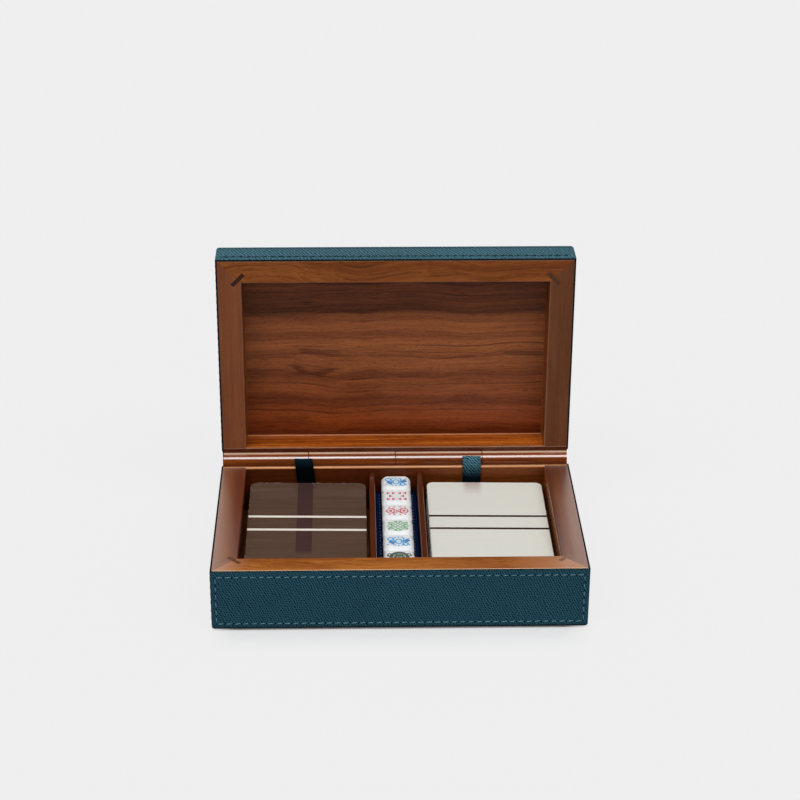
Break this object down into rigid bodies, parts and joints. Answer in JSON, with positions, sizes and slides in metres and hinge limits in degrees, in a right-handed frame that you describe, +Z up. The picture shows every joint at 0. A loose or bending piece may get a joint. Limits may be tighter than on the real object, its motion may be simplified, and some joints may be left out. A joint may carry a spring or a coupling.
{
  "type": "card deck box",
  "caption": "Hinged wooden keepsake box with leather panels, a wooden knuckle hinge, bays for playing cards with lift straps, and a cradle for a row of dice.",
  "frame": {"origin": "middle of the flat underside of the base", "axes": "+X to the right, +Y from the front to the hinge, +Z up"},
  "size_m": [0.192, 0.1407, 0.1549],
  "materials": {
    "walnut": "satin lacquer",
    "walnut_panel": "satin lacquer",
    "dark_walnut": "satin lacquer",
    "blue_leather": "embossed grain with contrast stitching",
    "navy_leather": "fine grain",
    "suede": "napped",
    "steel": "brushed",
    "brown_cards": "coated, gloss",
    "ivory_cards": "coated, gloss",
    "white_dice": "polished"
  },
  "bodies": {
    "base": {"base_front_rail": "walnut", "base_left_rail": "walnut", "base_right_rail": "walnut", "base_back_rail": "walnut", "base_floor": "walnut_panel", "base_left_spline": "dark_walnut", "base_right_spline": "dark_walnut", "left_divider": "walnut", "right_divider": "walnut", "dice_cradle": "navy_leather", "base_front_leather": "blue_leather", "base_left_leather": "blue_leather", "base_right_leather": "blue_leather", "base_back_leather": "blue_leather", "base_suede": "suede", "left_strap": "blue_leather", "right_strap": "blue_leather", "hinge_pin": "steel"},
    "lid": {"lid_front_rail": "walnut", "lid_left_rail": "walnut", "lid_right_rail": "walnut", "lid_back_rail": "walnut", "lid_panel": "walnut_panel", "lid_left_spline": "dark_walnut", "lid_right_spline": "dark_walnut", "lid_top_leather": "blue_leather", "lid_front_leather": "blue_leather", "lid_left_leather": "blue_leather", "lid_right_leather": "blue_leather", "lid_back_leather": "blue_leather"},
    "left_tab": {"left_strap_tab": "blue_leather"},
    "right_tab": {"right_strap_tab": "blue_leather"},
    "left_deck": {"left_deck": "brown_cards"},
    "right_deck": {"right_deck": "ivory_cards"},
    "die_1": {"die_1": "white_dice"},
    "die_2": {"die_2": "white_dice"},
    "die_3": {"die_3": "white_dice"},
    "die_4": {"die_4": "white_dice"},
    "die_5": {"die_5": "white_dice"},
    "die_6": {"die_6": "white_dice"}
  },
  "joints": [
    {"name": "lid_hinge", "type": "hinge", "parent": "base", "child": "lid", "pos_m": [0, 0.0569, 0.0353], "axis": [-1, 0, 0], "range_deg": [-90.5, 0]},
    {"name": "left_tab_fold", "type": "hinge", "parent": "base", "child": "left_tab", "pos_m": [-0.04815, 0.0481, 0.03565], "axis": [-1, 0, 0], "range_deg": [-27.15, 0]},
    {"name": "right_tab_fold", "type": "hinge", "parent": "base", "child": "right_tab", "pos_m": [0.04205, 0.0481, 0.03565], "axis": [-1, 0, 0], "range_deg": [-72.4, 0]},
    {"name": "left_deck_lift", "type": "slide", "parent": "base", "child": "left_deck", "axis": [0, 0, 1], "range_m": [0, 0.045]},
    {"name": "right_deck_lift", "type": "slide", "parent": "base", "child": "right_deck", "axis": [0, 0, 1], "range_m": [0, 0.045]},
    {"name": "die_1_lift", "type": "slide", "parent": "base", "child": "die_1", "axis": [0, 0, 1], "range_m": [0, 0.035]},
    {"name": "die_2_lift", "type": "slide", "parent": "base", "child": "die_2", "axis": [0, 0, 1], "range_m": [0, 0.035]},
    {"name": "die_3_lift", "type": "slide", "parent": "base", "child": "die_3", "axis": [0, 0, 1], "range_m": [0, 0.035]},
    {"name": "die_4_lift", "type": "slide", "parent": "base", "child": "die_4", "axis": [0, 0, 1], "range_m": [0, 0.035]},
    {"name": "die_5_lift", "type": "slide", "parent": "base", "child": "die_5", "axis": [0, 0, 1], "range_m": [0, 0.035]},
    {"name": "die_6_lift", "type": "slide", "parent": "base", "child": "die_6", "axis": [0, 0, 1], "range_m": [0, 0.035]}
  ],
  "couplings": [
    {"joint": "left_tab_fold", "follows": "lid_hinge", "ratio": 0.3},
    {"joint": "right_tab_fold", "follows": "lid_hinge", "ratio": 0.8}
  ]
}
